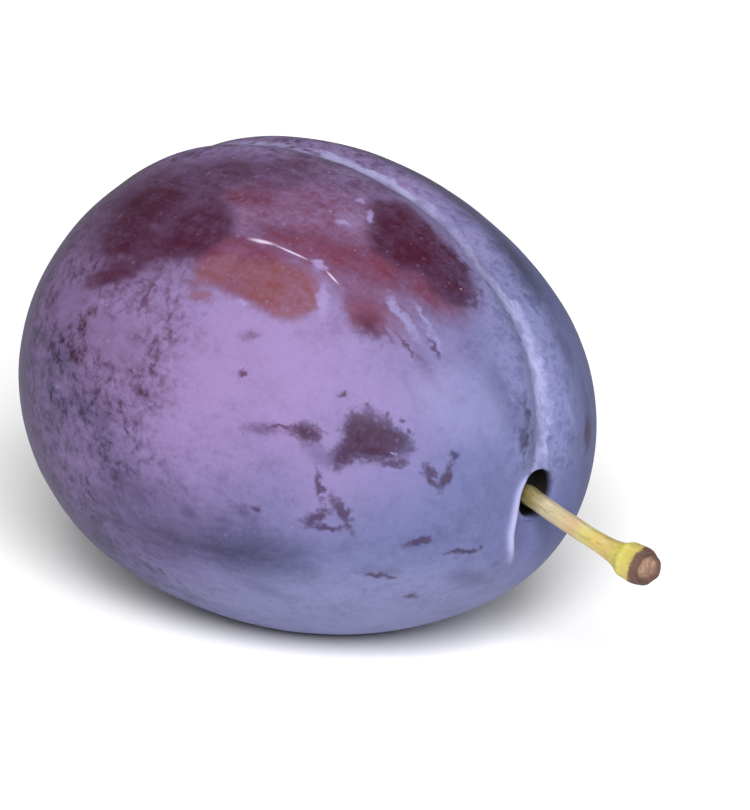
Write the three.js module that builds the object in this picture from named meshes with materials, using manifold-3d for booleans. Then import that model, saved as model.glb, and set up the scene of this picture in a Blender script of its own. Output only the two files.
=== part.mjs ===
// A European plum lying on its side: the fruit, and the short stem that stands in its cavity.
// Millimetres, +Z up. The origin is the middle of the small flat spot that the fruit rests on, and the
// stem end points along +X.
//
// Both pieces are made in the fruit's own frame, where +X runs along the core from the middle of the
// fruit to its stem end and +Z is up. The whole plum is then tipped a little and set down.

import * as THREE from "three";
import { mergeVertices } from "three/addons/utils/BufferGeometryUtils.js";
import Module from "manifold-3d";

// Driving dimensions, in millimetres and degrees.
const fruit = {
  length: 48, // of the egg shape, before the cavity sinks into it and the tip stands out of it
  width: 38.2, // from cheek to cheek, at the middle
  depth: 37.4, // from the suture to the back, at the middle
  blossomFullness: 0.18, // share by which the outline fills out towards the blossom end
  droop: 1, // how far both ends hang away from the suture's side
  fullerCheek: 0.01, // share by which the cheek on the +Y side swells past the other
  shoulder: 0.5, // how far the stem end stands out above the core, and sits back below it
  bend: 0.45, // how far the stem end bends towards +Y
};
const tip = {
  reach: 0.9, // how far the blunt blossom tip stands out
  spread: 22, // degrees from the core to where it fades out
  scarDepth: 0.35,
  scarRadius: 1.1,
};
const suture = {
  around: 10, // from straight up, towards +Y
  wander: 4, // how far it sways to each side on its way
  depth: 0.6,
  fadedShare: 0.3, // what is left of its depth at the blossom tip
  halfWidth: 1.5,
  nearLip: 0.45, // height of the lip on the -Y side, as a share of the depth
  farLip: 0.2,
  lipAt: 1.8, // the lips' distance from the furrow, in half widths
};
const cleft = { depth: 0.5, reach: 6.5 }; // the furrow where it runs on past the cavity, down the back
const cavity = {
  funnelDepth: 1.2,
  funnelRadius: 4.4,
  lipRadius: 2.3,
  pitRadius: 1.95,
  pitDepth: 2.1,
  floorRadius: 1.65,
  hang: 0.55, // how far the whole cavity hangs below the core's end
  hangReach: 6, // how far out from the core that still tells
};
const stem = {
  length: 16, // measured along the fruit's core
  footRadius: 0.85,
  shankRadius: 0.75,
  knobRadius: 1.52,
  scarRadius: 1.2,
  scarDepth: 0.3,
  footDrop: 0.2, // how far its foot stands below the pit's middle
  start: { sideways: -14, up: -4 }, // how its foot points, in degrees from the core, towards +Y and +Z
  reach: { sideways: -12, up: -2 }, // how its far end lies from its foot
  end: { sideways: -9, up: 2 }, // how its far end points
  lobes: 3,
  lobeShare: 0.05, // how much the knob's three soft lobes stand out
};
const rest = {
  tipped: 3.5, // the stem end lies lower than level by this many degrees
  flatDepth: 0.4, // how much of the fruit's lowest side is pressed flat
};
const seatGap = 0.45; // between the stem's foot and the pit's floor

// How finely each piece is cut into faces.
const facets = {
  fruitAround: 80,
  aroundCrowding: 0.55, // towards the suture
  fruitRows: 40,
  rowCrowding: 0.08, // towards both ends
  stemAround: 24,
};

const degrees = THREE.MathUtils.degToRad;
const swell = (q) => Math.exp(-q * q);
const halfLength = fruit.length / 2;
const halfWidth = fruit.width / 2;

// The fruit's outline at an angle from the stem end (0) to the blossom end (PI): how far out from the
// core and how far along it. The furrow and the difference between the cheeks come later.
function outlineAt(angle) {
  const along = Math.cos(angle);
  const towardsTip = (1 - along) / 2;
  const out = halfWidth * Math.sin(angle) * (1 + fruit.blossomFullness * (towardsTip ** 2 - 0.25));
  const bluntTip = tip.reach * swell((Math.PI - angle) / degrees(tip.spread));
  const scar = along < 0 ? tip.scarDepth * swell(out / tip.scarRadius) : 0;
  const funnel = along > 0 ? cavity.funnelDepth * swell(out / cavity.funnelRadius) : 0;
  return new THREE.Vector2(out, halfLength * along - bluntTip + scar - funnel);
}

// The whole half section, from the blossom tip up to the cavity's lip and down to the pit's floor.
function halfSection() {
  const lipAngle = Math.asin(cavity.lipRadius / halfWidth);
  const points = [];
  for (let row = 0; row <= facets.fruitRows; row += 1) {
    const share = row / facets.fruitRows;
    const crowded = share - facets.rowCrowding * Math.sin(2 * Math.PI * share);
    points.push(outlineAt(Math.PI + (lipAngle - Math.PI) * crowded));
  }
  points[0].x = 0;
  const lip = points[points.length - 1];
  const floor = lip.y - cavity.pitDepth;
  const { pitRadius, floorRadius } = cavity;
  points.push(
    new THREE.Vector2(pitRadius + 0.4 * (lip.x - pitRadius), lip.y - 0.06),
    new THREE.Vector2(pitRadius, lip.y - 0.3),
    new THREE.Vector2((pitRadius + floorRadius) / 2, floor + 0.4 * cavity.pitDepth),
    new THREE.Vector2(floorRadius, floor),
    new THREE.Vector2(0, floor),
  );
  return points;
}

// The furrow's section at a distance across it, 1 at its bottom, with a low lip along each side.
function furrowAt(across) {
  const halfWidths = across / suture.halfWidth;
  const farSide = (1 + Math.tanh(halfWidths)) / 2;
  const lip = THREE.MathUtils.lerp(suture.nearLip, suture.farLip, farSide);
  return swell(halfWidths) - lip * swell(Math.abs(halfWidths) - suture.lipAt);
}

// How deep the furrow is: it fades towards the blossom end, and runs on past the cavity as the cleft.
function furrowDepth(along, out, fromSuture) {
  const { smoothstep, lerp } = THREE.MathUtils;
  const onFront = smoothstep(Math.cos(fromSuture), -0.5, 0.5);
  const faded = lerp(suture.fadedShare, 1, smoothstep(along, -halfLength, halfLength / 2));
  const cleftDepth = cleft.depth * swell(out / cleft.reach) * smoothstep(along, 0, halfLength / 2);
  return lerp(cleftDepth, suture.depth * faded, onFront);
}

// How much of the stem end's bend and shoulder there is at a place along the core.
const nearStem = (along) => THREE.MathUtils.smoothstep(along, 0, 20);

// Turns a plain round fruit into a plum: a furrow, one fuller cheek, and ends that hang a little.
function shapeFruit(geometry) {
  const at = geometry.getAttribute("position");
  for (let i = 0; i < at.count; i += 1) {
    const along = at.getX(i);
    const out = Math.hypot(at.getY(i), at.getZ(i));
    const even = Math.atan2(at.getY(i), at.getZ(i));
    const fromSuture = even - facets.aroundCrowding * Math.sin(even);
    const outsidePit = out >= cavity.lipRadius - 0.01 || along < 0;
    const dip = outsidePit
      ? furrowDepth(along, out, fromSuture) * furrowAt(out * Math.sin(fromSuture))
      : 0;
    const facing = new THREE.Vector2(along / halfLength ** 2, out / halfWidth ** 2).normalize();
    const nearPole = Math.min(1, out / (2 * cavity.lipRadius));
    const radius = (out - dip * nearPole * facing.y) * (1 + fruit.fullerCheek * Math.sin(fromSuture));
    const sway = degrees(suture.wander) * Math.sin((Math.PI * along) / halfLength);
    const around = fromSuture + sway * Math.cos(fromSuture / 2) ** 2;
    const sideways = radius * Math.sin(around);
    const up = (radius * Math.cos(around) * fruit.depth) / fruit.width;
    const droop = fruit.droop * ((along / halfLength) ** 2 - 1 / 3);
    const hang = along > 0 ? cavity.hang * swell(out / cavity.hangReach) : 0;
    const turned = new THREE.Vector2(sideways, up - droop - hang);
    turned.rotateAround(new THREE.Vector2(0, 0), degrees(-suture.around));
    turned.x += fruit.bend * nearStem(along);
    const shoulder = (fruit.shoulder * nearStem(along) * out * Math.cos(fromSuture)) / halfWidth;
    at.setXYZ(i, along - dip * nearPole * facing.x + shoulder, turned.x, turned.y);
  }
}

// A closed geometry with its shared points merged, as a manifold-3d solid, and back.
const wasm = await Module();
wasm.setup();

function solidOf(geometry) {
  const bare = geometry.clone();
  bare.deleteAttribute("normal");
  bare.deleteAttribute("uv");
  const merged = mergeVertices(bare, 1e-4);
  return new wasm.Manifold(
    new wasm.Mesh({
      numProp: 3,
      vertProperties: merged.getAttribute("position").array,
      triVerts: new Uint32Array(merged.index.array),
    }),
  );
}

function geometryOf(solid) {
  const mesh = solid.getMesh();
  const geometry = new THREE.BufferGeometry();
  geometry.setAttribute("position", new THREE.BufferAttribute(mesh.vertProperties, 3));
  geometry.setIndex(new THREE.BufferAttribute(mesh.triVerts, 1));
  return geometry;
}

// The plum's pose: tipped towards the stem end, then lowered until its flat spot is on the ground.
const plum = new THREE.Group();
plum.rotation.y = degrees(rest.tipped);

const wholeFruit = new THREE.LatheGeometry(halfSection(), facets.fruitAround);
wholeFruit.rotateZ(-Math.PI / 2);
shapeFruit(wholeFruit);

plum.updateMatrix();
const tippedFruit = wholeFruit.clone().applyMatrix4(plum.matrix);
tippedFruit.computeBoundingBox();
plum.position.z = -tippedFruit.boundingBox.min.z - rest.flatDepth;
plum.updateMatrix();

// Everything below the ground is cut away, which leaves the flat spot.
const ground = new THREE.BoxGeometry(100, 100, 20);
ground.translate(0, 0, -10);
ground.applyMatrix4(plum.matrix.clone().invert());
const restingFruit = geometryOf(solidOf(wholeFruit).subtract(solidOf(ground)));

// The flat spot's middle becomes the origin.
function flatSpotMiddle(geometry) {
  const at = geometry.clone().applyMatrix4(plum.matrix).getAttribute("position");
  const spot = new THREE.Box3();
  const point = new THREE.Vector3();
  for (let i = 0; i < at.count; i += 1) {
    point.fromBufferAttribute(at, i);
    if (Math.abs(point.z) < 1e-3) spot.expandByPoint(point);
  }
  return spot.getCenter(new THREE.Vector3());
}
const middle = flatSpotMiddle(restingFruit);
plum.position.x = -middle.x;
plum.position.y = -middle.y;

const fruitMesh = new THREE.Mesh(
  restingFruit,
  new THREE.MeshStandardMaterial({ color: 0x7d6fa6, roughness: 0.55, metalness: 0 }),
);
fruitMesh.name = "fruit";
plum.add(fruitMesh);

// The stem's half section, from its foot to the scar where it broke from the twig.
function stemSection() {
  const { length, footRadius, shankRadius, knobRadius, scarRadius, scarDepth } = stem;
  return [
    new THREE.Vector2(0, 0),
    new THREE.Vector2(footRadius * 0.6, 0),
    new THREE.Vector2(footRadius, 0.05 * length),
    new THREE.Vector2(footRadius * 0.88, 0.11 * length),
    new THREE.Vector2(shankRadius, 0.2 * length),
    new THREE.Vector2(shankRadius, 0.34 * length),
    new THREE.Vector2(shankRadius, 0.48 * length),
    new THREE.Vector2(shankRadius, 0.6 * length),
    new THREE.Vector2(shankRadius * 1.06, 0.7 * length),
    new THREE.Vector2(shankRadius * 1.25, 0.77 * length),
    new THREE.Vector2(shankRadius * 1.55, 0.83 * length),
    new THREE.Vector2(knobRadius * 0.96, 0.88 * length),
    new THREE.Vector2(knobRadius, 0.93 * length),
    new THREE.Vector2(knobRadius * 0.97, 0.97 * length),
    new THREE.Vector2(knobRadius * 0.88, length),
    new THREE.Vector2(scarRadius, length),
    new THREE.Vector2(scarRadius * 0.7, length - scarDepth),
    new THREE.Vector2(0, length - scarDepth),
  ];
}

// Bends a straight stem along its curve, and gives its knob a few soft lobes.
function shapeStem(geometry, curve) {
  const at = geometry.getAttribute("position");
  const straight = new THREE.Vector3(1, 0, 0);
  const turn = new THREE.Quaternion();
  for (let i = 0; i < at.count; i += 1) {
    const share = at.getX(i) / stem.length;
    const around = Math.atan2(at.getY(i), at.getZ(i));
    const onKnob = THREE.MathUtils.smoothstep(share, 0.7, 0.9);
    const lobed = 1 + stem.lobeShare * onKnob * Math.cos(stem.lobes * around);
    const spoke = new THREE.Vector3(0, at.getY(i) * lobed, at.getZ(i) * lobed);
    turn.setFromUnitVectors(straight, curve.getTangent(share));
    spoke.applyQuaternion(turn).add(curve.getPoint(share));
    at.setXYZ(i, spoke.x, spoke.y, spoke.z);
  }
}

// Where the stem's foot stands in the pit, which hangs away from the suture, in the fruit's own frame.
const pitFloor = halfSection().pop().y;
const footUp = -fruit.droop * ((pitFloor / halfLength) ** 2 - 1 / 3) - cavity.hang - stem.footDrop;
const foot = new THREE.Vector3(
  pitFloor + seatGap,
  footUp * Math.sin(degrees(suture.around)) + fruit.bend * nearStem(pitFloor),
  footUp * Math.cos(degrees(suture.around)),
);
// A step of so many millimetres along the core, turned away from it by a direction's two angles.
function stepBy(along, { sideways, up }) {
  return new THREE.Vector3(1, Math.tan(degrees(sideways)), Math.tan(degrees(up))).multiplyScalar(along);
}
const farEnd = foot.clone().add(stepBy(stem.length, stem.reach));
const stemCurve = new THREE.CubicBezierCurve3(
  foot,
  foot.clone().add(stepBy(stem.length / 3, stem.start)),
  farEnd.clone().sub(stepBy(stem.length / 3, stem.end)),
  farEnd,
);
const stemGeometry = new THREE.LatheGeometry(stemSection(), facets.stemAround);
stemGeometry.rotateZ(-Math.PI / 2);
shapeStem(stemGeometry, stemCurve);

const stemMesh = new THREE.Mesh(
  stemGeometry,
  new THREE.MeshStandardMaterial({ color: 0xb5a85a, roughness: 0.6, metalness: 0 }),
);
stemMesh.name = "stem";
plum.add(stemMesh);

const part = new THREE.Group();
part.add(plum);

export default part;
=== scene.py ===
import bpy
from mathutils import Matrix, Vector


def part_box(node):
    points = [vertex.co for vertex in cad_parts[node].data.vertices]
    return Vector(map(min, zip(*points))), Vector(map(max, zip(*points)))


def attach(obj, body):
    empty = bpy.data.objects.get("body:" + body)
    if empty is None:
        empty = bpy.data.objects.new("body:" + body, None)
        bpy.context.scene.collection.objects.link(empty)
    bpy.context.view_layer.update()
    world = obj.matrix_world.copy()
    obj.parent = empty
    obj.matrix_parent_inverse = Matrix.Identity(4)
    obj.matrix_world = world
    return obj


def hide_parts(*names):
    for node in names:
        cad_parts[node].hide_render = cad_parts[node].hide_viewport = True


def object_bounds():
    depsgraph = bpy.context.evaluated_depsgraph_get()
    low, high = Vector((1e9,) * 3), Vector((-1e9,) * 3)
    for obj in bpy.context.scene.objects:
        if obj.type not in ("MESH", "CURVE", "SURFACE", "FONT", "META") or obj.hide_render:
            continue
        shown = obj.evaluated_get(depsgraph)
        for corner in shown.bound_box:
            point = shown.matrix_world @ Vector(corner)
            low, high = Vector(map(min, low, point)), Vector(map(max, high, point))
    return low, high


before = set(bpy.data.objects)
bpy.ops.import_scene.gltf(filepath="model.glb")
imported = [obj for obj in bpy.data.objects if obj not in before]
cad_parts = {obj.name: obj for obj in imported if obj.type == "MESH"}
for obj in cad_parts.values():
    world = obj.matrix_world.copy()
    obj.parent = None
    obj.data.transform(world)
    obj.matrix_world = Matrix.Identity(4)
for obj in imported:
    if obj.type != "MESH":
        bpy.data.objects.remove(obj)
cadBox = [list(corner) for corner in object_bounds()]

import math

import bmesh
import bpy
from mathutils import Matrix, Vector, kdtree, noise

# A European plum lying on its side: the fruit with its bloom, and its stem.
# Lengths are in millimetres and angles in degrees until a piece is finished, which puts it in metres.
# The fruit's own frame has its core along +X to the stem end, and +Z up; the plum lies tipped from it.
millimetre = 0.001
scene = bpy.context.scene

# The fruit's form is the same egg shape as the solid it stands for.
fruitForm = {
    "length": 48,  # of the egg shape, before the cavity and the tip
    "width": 38.2,  # from cheek to cheek, at the middle
    "depth": 37.4,  # from the suture to the back
    "blossomFullness": 0.18,  # how much fuller the outline is towards the blossom end
    "droop": 1,  # how far both ends hang away from the suture
    "fullerCheek": 0.01,
    "shoulder": 0.5,  # how far the stem end stands out above the core, and sits back below it
    "bend": 0.45,  # how far the stem end bends towards +Y
    "bendEnds": 20,  # where along the core the bend and the shoulder are at their full
    "tipReach": 0.9,  # the blunt blossom tip
    "tipSpread": 22,
    "scarDepth": 0.35,
    "scarRadius": 1.1,
    "tipped": 3.5,  # the stem end lies this much lower than level
}
sutureForm = {
    "around": 10,  # from straight up, towards +Y
    "wander": 4,
    "depth": 0.6,
    "fadedShare": 0.3,
    "halfWidth": 1.5,
    "nearLip": 0.45,
    "farLip": 0.2,
    "lipAt": 1.8,
    "cleftDepth": 0.5,  # where it runs on past the cavity
    "cleftReach": 6.5,
}
cavityForm = {
    "funnelDepth": 1.2,
    "funnelRadius": 4.4,
    "lipRadius": 2.3,
    "pitRadius": 1.95,
    "pitDepth": 2.1,
    "floorRadius": 1.65,
    "hang": 0.55,  # how far the whole cavity hangs below the core's end
    "hangReach": 6,
}
# The near cheek ends in a low crest that passes the cavity and runs down into the cleft.
crestForm = {
    "starts": 14,  # where along the core it begins to rise
    "full": 22,
    "height": 0.34,
    "halfWidth": 0.5,
    "bulge": 2.5,  # how far from the suture it passes the cavity
    "top": 2.5,  # it ends round the top of the cavity
    "turnsIn": -2.6,  # and bends in to the cleft below here
    "reach": 3.6,
    "foot": -7.5,
}
fruitFinish = {
    "around": 384,
    "crowding": 0.5,  # towards the suture
    "rows": 205,
    "rowCrowding": 0.09,  # towards both ends
    "lipRows": 5,
    "wallRows": 6,
    "lump": 0.12,  # the soft unevenness of the flesh under the skin
    "lumpSize": 11,
    "dimple": 0.035,
    "dimpleSize": 3.2,
    "smoothBelow": 0.6,  # how deep in the pit both have faded out
}

halfLength = fruitForm["length"] / 2
halfWidth = fruitForm["width"] / 2
suture = math.radians(sutureForm["around"])
tipTurn = Matrix.Rotation(math.radians(fruitForm["tipped"]), 3, "Y")


def swell(q):
    return math.exp(-q * q)


def smoothStep(value, low, high):
    share = min(1, max(0, (value - low) / (high - low)))
    return share * share * (3 - 2 * share)


def lerp(first, second, share):
    return first + (second - first) * share


# How far along the core and how far out from it the outline lies, from stem end (0) to tip (pi).
def outlineAt(angle):
    along = math.cos(angle)
    towardsTip = (1 - along) / 2
    fuller = 1 + fruitForm["blossomFullness"] * (towardsTip**2 - 0.25)
    out = halfWidth * math.sin(angle) * fuller
    tip = fruitForm["tipReach"] * swell((math.pi - angle) / math.radians(fruitForm["tipSpread"]))
    scar = fruitForm["scarDepth"] * swell(out / fruitForm["scarRadius"]) if along < 0 else 0
    funnel = cavityForm["funnelDepth"] * swell(out / cavityForm["funnelRadius"]) if along > 0 else 0
    return halfLength * along - tip + scar - funnel, out


# The half section, from the blossom tip over the cavity's rounded lip to the pit's floor.
def fruitSection():
    lipAngle = math.asin(cavityForm["lipRadius"] / halfWidth)
    points = []
    for row in range(fruitFinish["rows"] + 1):
        share = row / fruitFinish["rows"]
        crowded = share - fruitFinish["rowCrowding"] * math.sin(2 * math.pi * share)
        points.append(outlineAt(math.pi + (lipAngle - math.pi) * crowded))
    points[0] = (points[0][0], 0)
    lip, lipOut = points[-1]
    floor = lip - cavityForm["pitDepth"]
    rounding = lipOut - cavityForm["pitRadius"]
    for row in range(1, fruitFinish["lipRows"] + 1):  # the rounded lip
        turn = row / fruitFinish["lipRows"] * math.pi / 2
        points.append((lip - rounding * (1 - math.cos(turn)), lipOut - rounding * math.sin(turn)))
    for row in range(1, fruitFinish["wallRows"] + 1):  # the wall, narrowing
        share = row / fruitFinish["wallRows"]
        out = lerp(cavityForm["pitRadius"], cavityForm["floorRadius"], share**2)
        points.append((lerp(lip - rounding, floor, share), out))
    points.append((floor, cavityForm["floorRadius"] / 2))
    points.append((floor, 0))
    return points


# The furrow's section, 1 at its bottom, with a low lip along each side.
def furrowAt(across):
    halfWidths = across / sutureForm["halfWidth"]
    lip = lerp(sutureForm["nearLip"], sutureForm["farLip"], (1 + math.tanh(halfWidths)) / 2)
    return swell(halfWidths) - lip * swell(abs(halfWidths) - sutureForm["lipAt"])


def furrowDepth(along, out, fromSuture):
    onFront = smoothStep(math.cos(fromSuture), -0.5, 0.5)
    faded = lerp(sutureForm["fadedShare"], 1, smoothStep(along, -halfLength, halfLength / 2))
    cleft = sutureForm["cleftDepth"] * swell(out / sutureForm["cleftReach"])
    cleft *= smoothStep(along, 0, halfLength / 2)
    return lerp(cleft, sutureForm["depth"] * faded, onFront)


# How much of the crest's height there is at a place.
def crestAt(along, across, up):
    above = min(1, max(0, up) / crestForm["top"])
    below = max(0, crestForm["turnsIn"] - up) / crestForm["reach"]
    stands = crestForm["bulge"] * math.sqrt(1 - above**2) * swell(below)
    ends = smoothStep(along, crestForm["starts"], crestForm["full"])
    ends *= smoothStep(up, crestForm["top"], crestForm["top"] / 2)
    ends *= smoothStep(up, crestForm["foot"], crestForm["foot"] / 2)
    return swell((across + stands) / crestForm["halfWidth"]) * ends


# How much of the stem end's bend and shoulder there is at a place along the core.
def nearStem(along):
    return smoothStep(along, 0, fruitForm["bendEnds"])


# The pit begins just inside the cavity's lip.
def isInPit(along, out):
    return along > 0 and out < cavityForm["lipRadius"] - 0.01


# Where a point of the plain round fruit lies once the fruit has its furrow, cheeks and droop.
def plumPoint(along, out, fromSuture):
    across = out * math.sin(fromSuture)
    dip = 0 if isInPit(along, out) else furrowDepth(along, out, fromSuture) * furrowAt(across)
    dip *= min(1, out / (2 * cavityForm["lipRadius"]))
    facing = Vector((along / halfLength**2, out / halfWidth**2)).normalized()
    radius = (out - dip * facing.y) * (1 + fruitForm["fullerCheek"] * math.sin(fromSuture))
    sway = math.radians(sutureForm["wander"]) * math.sin(math.pi * along / halfLength)
    around = fromSuture + sway * math.cos(fromSuture / 2) ** 2
    sideways = radius * math.sin(around)
    up = radius * math.cos(around) * fruitForm["depth"] / fruitForm["width"]
    up -= fruitForm["droop"] * ((along / halfLength) ** 2 - 1 / 3)
    up -= cavityForm["hang"] * swell(out / cavityForm["hangReach"]) if along > 0 else 0
    lift = crestForm["height"] * crestAt(along, across, out * math.cos(fromSuture))
    shoulder = fruitForm["shoulder"] * nearStem(along) * out * math.cos(fromSuture) / halfWidth
    turned = Vector((along - dip * facing.x + lift + shoulder, sideways, up))
    turned.rotate(Matrix.Rotation(-suture, 3, "X"))
    turned.y += fruitForm["bend"] * nearStem(along)
    return turned


# Wraps a grid round the core: its rows follow a half section, and its columns go round. PlaceAt gives
# each vertex's place and what its layers hold.
def wrappedBody(section, around, layerKinds, placeAt):
    body = bmesh.new()
    rows = len(section) - 1
    bmesh.ops.create_grid(body, x_segments=rows, y_segments=around, size=0.5)
    layers = {name: getattr(body.verts.layers, kind).new(name) for name, kind in layerKinds.items()}
    for vert in body.verts:
        along, out = section[round((vert.co.x + 0.5) * rows)]
        vert.co, held = placeAt(along, out, vert.co.y * 2 * math.pi)
        for name, value in held.items():
            vert[layers[name]] = value
    bmesh.ops.remove_doubles(body, verts=body.verts, dist=1e-4)
    return body


def addObject(name, data):
    made = bpy.data.objects.new(name, data)
    scene.collection.objects.link(made)
    return made


def bodyToObject(body, name, material):
    mesh = bpy.data.meshes.new(name)
    body.to_mesh(mesh)
    body.free()
    mesh.materials.append(material)
    return addObject(name, mesh)


# Puts a bmesh in metres, with its faces outwards, and makes it a piece that rides on the plum.
def finishPiece(body, name, node, material):
    bmesh.ops.scale(body, vec=(millimetre,) * 3, verts=body.verts)
    bmesh.ops.recalc_face_normals(body, faces=body.faces)
    piece = bodyToObject(body, name, material)
    piece.data.shade_smooth()
    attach(piece, "root")
    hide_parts(node)
    print(name, "has", len(piece.data.polygons), "faces")
    return piece


# The line of thick bloom lies in the furrow, and strays onto the furrow's near lip at one place; it is made
# paler still as a painted highlight where the lip catches the light.
bloomLine = {
    "stray": 1.1,
    "straysAt": 13.5,
    "strayReach": 3,
    "endsBelow": 2,  # above the core
    "endsIn": 1.5,  # how fast it ends there
}


def distanceFromLine(along, across, up):
    stray = bloomLine["stray"] * swell((along - bloomLine["straysAt"]) / bloomLine["strayReach"])
    return abs(across + stray) + bloomLine["endsIn"] * max(0, bloomLine["endsBelow"] - up)


# Where a vertex of the skin lies, with what its layers hold. The columns crowd towards the suture.
def skinPlace(along, out, even):
    fromSuture = even - fruitFinish["crowding"] * math.sin(even)
    across = out * math.sin(fromSuture)
    up = out * math.cos(fromSuture)
    held = {
        "fromLine": distanceFromLine(along, across, up),
        "depthInPit": pitLip - along if isInPit(along, out) else 0,
        "onCrest": crestAt(along, across, up),
    }
    return tipTurn @ plumPoint(along, out, fromSuture), held


pitLip = outlineAt(math.asin(cavityForm["lipRadius"] / halfWidth))[0]


# Slides the tipped fruit to where the solid lies, and says how far it went.
def placeOnSolid(body):
    spans = [[vert.co[axis] for vert in body.verts] for axis in range(3)]
    low, high = Vector(map(min, spans)), Vector(map(max, spans))
    solidLow, solidHigh = [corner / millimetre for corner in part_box("fruit")]
    shift = (solidLow + solidHigh) / 2 - (low + high) / 2
    shift.z = solidHigh.z - high.z
    bmesh.ops.translate(body, vec=shift, verts=body.verts)
    return shift


# Soft lumps and shallow dimples, which fade out in the pit.
def relieve(body):
    body.normal_update()
    depthInPit = body.verts.layers.float["depthInPit"]
    moves = []
    for vert in body.verts:
        lump = fruitFinish["lump"] * noise.noise(vert.co / fruitFinish["lumpSize"])
        dimple = fruitFinish["dimple"] * noise.noise(vert.co / fruitFinish["dimpleSize"])
        fade = smoothStep(vert[depthInPit], fruitFinish["smoothBelow"], 0)
        moves.append(vert.normal * (lump + dimple) * fade)
    for vert, move in zip(body.verts, moves):
        vert.co += move


# Cuts off what is below the ground, and closes the flat spot.
def pressFlat(body):
    cut = bmesh.ops.bisect_plane(
        body,
        geom=body.verts[:] + body.edges[:] + body.faces[:],
        plane_co=(0, 0, 0),
        plane_no=(0, 0, -1),
        clear_outer=True,
    )
    rim = [item for item in cut["geom_cut"] if isinstance(item, bmesh.types.BMEdge)]
    bmesh.ops.edgeloop_fill(body, edges=rim)


def addNode(tree, kind, values=None, **settings):
    made = tree.nodes.new(kind)
    for name, setting in settings.items():
        setattr(made, name, setting)
    for socket, value in (values or {}).items():
        if isinstance(value, bpy.types.NodeSocket):
            tree.links.new(value, made.inputs[socket])
        else:
            made.inputs[socket].default_value = value
    return made


def calc(tree, operation, first, second=0, third=0):
    values = {0: first, 1: second, 2: third}
    return addNode(tree, "ShaderNodeMath", values, operation=operation).outputs[0]


def times(tree, first, second):
    return calc(tree, "MULTIPLY", first, second)


def greater(tree, first, second):
    return calc(tree, "MAXIMUM", first, second)


def vectorCalc(tree, operation, first, second):
    values = {0: first, 1: second}
    return addNode(tree, "ShaderNodeVectorMath", values, operation=operation).outputs[0]


def scaled(tree, vector, factor):
    values = {0: vector, "Scale": factor}
    return addNode(tree, "ShaderNodeVectorMath", values, operation="SCALE").outputs[0]


# Goes smoothly from start to end as the value goes from low to high.
def step(tree, value, low, high, start=0, end=1):
    values = {"Value": value, "From Min": low, "From Max": high, "To Min": start, "To Max": end}
    made = addNode(tree, "ShaderNodeMapRange", values, interpolation_type="SMOOTHSTEP")
    return made.outputs[0]


def mixed(tree, share, first, second):
    values = {0: share, 6: first, 7: second}
    return addNode(tree, "ShaderNodeMix", values, data_type="RGBA").outputs[2]


# A colour with others laid over it in turn, each where its own mask is.
def painted(tree, colour, colours, **masks):
    for name, mask in masks.items():
        colour = mixed(tree, mask, colour, colours[name])
    return colour


def cloud(tree, place, size, detail=3, roughness=0.6, distortion=0):
    values = {"Vector": place, "Scale": 1 / size}
    values |= {"Detail": detail, "Roughness": roughness, "Distortion": distortion}
    return addNode(tree, "ShaderNodeTexNoise", values)


# A noise's value with its middle moved to 0.
def centred(tree, noiseNode):
    return calc(tree, "SUBTRACT", noiseNode.outputs["Fac"], 0.5)


# How far a place lies in a direction.
def dotWith(tree, place, direction):
    values = {0: place, 1: Vector(direction).normalized()}
    return addNode(tree, "ShaderNodeVectorMath", values, operation="DOT_PRODUCT").outputs["Value"]


# Where a place lies in a frame with its own middle, turn and sizes.
def placeWithin(tree, place, middle, turn, sizes):
    values = {"Vector": place, "Location": middle, "Rotation": turn, "Scale": sizes}
    return addNode(tree, "ShaderNodeMapping", values, vector_type="TEXTURE").outputs[0]


# A value plus each of the others times its weight.
def weighted(tree, value, *others):
    for other, weight in others:
        value = calc(tree, "MULTIPLY_ADD", other, weight, value)
    return value


# Parts added to a start, each times the amount of its name.
def summed(tree, amounts, start=0, **parts):
    return weighted(tree, start, *[(part, amounts[name]) for name, part in parts.items()])


# Goes from the first value to the second as the share rises from 0 to 1.
def blended(tree, share, first, second):
    return calc(tree, "MULTIPLY_ADD", calc(tree, "SUBTRACT", second, first), share, first)


def readLayer(tree, name):
    return addNode(tree, "ShaderNodeAttribute", attribute_name=name).outputs["Fac"]


# A colour that changes along a value, given as stops of place and colour.
def ramp(tree, value, stops):
    made = addNode(tree, "ShaderNodeValToRGB", {0: value})
    elements = made.color_ramp.elements
    elements[0].position, elements[0].color = stops[0]
    elements[1].position, elements[1].color = stops[-1]
    for place, colour in stops[1:-1]:
        elements.new(place).color = colour
    return made.outputs[0]


def rgb(red, green, blue):
    return (red, green, blue, 1)


# A new material, with its node tree and its shader.
def newMaterial(name, specular=0.5):
    material = bpy.data.materials.new(name)
    material.use_nodes = True
    shader = material.node_tree.nodes["Principled BSDF"]
    shader.inputs["Specular IOR Level"].default_value = specular
    return material, material.node_tree, shader


# Gives a shader what changes over the surface: its colour, its roughness and a height in millimetres.
def linkFinish(tree, shader, colour, roughness, height):
    bump = addNode(tree, "ShaderNodeBump", {"Height": height, "Distance": millimetre})
    tree.links.new(colour, shader.inputs["Base Color"])
    tree.links.new(roughness, shader.inputs["Roughness"])
    tree.links.new(bump.outputs[0], shader.inputs["Normal"])


# A new node group that makes a mask, with the sockets of what it is given and of its mask.
def newMaskGroup(name, places, values):
    group = bpy.data.node_groups.new(name, "ShaderNodeTree")
    for label in places:
        group.interface.new_socket(label, in_out="INPUT", socket_type="NodeSocketVector")
    for label in values:
        group.interface.new_socket(label, in_out="INPUT", socket_type="NodeSocketFloat")
    group.interface.new_socket("Mask", in_out="OUTPUT", socket_type="NodeSocketFloat")
    given = group.nodes.new("NodeGroupInput").outputs
    return group, given, group.nodes.new("NodeGroupOutput").inputs["Mask"]


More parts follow.
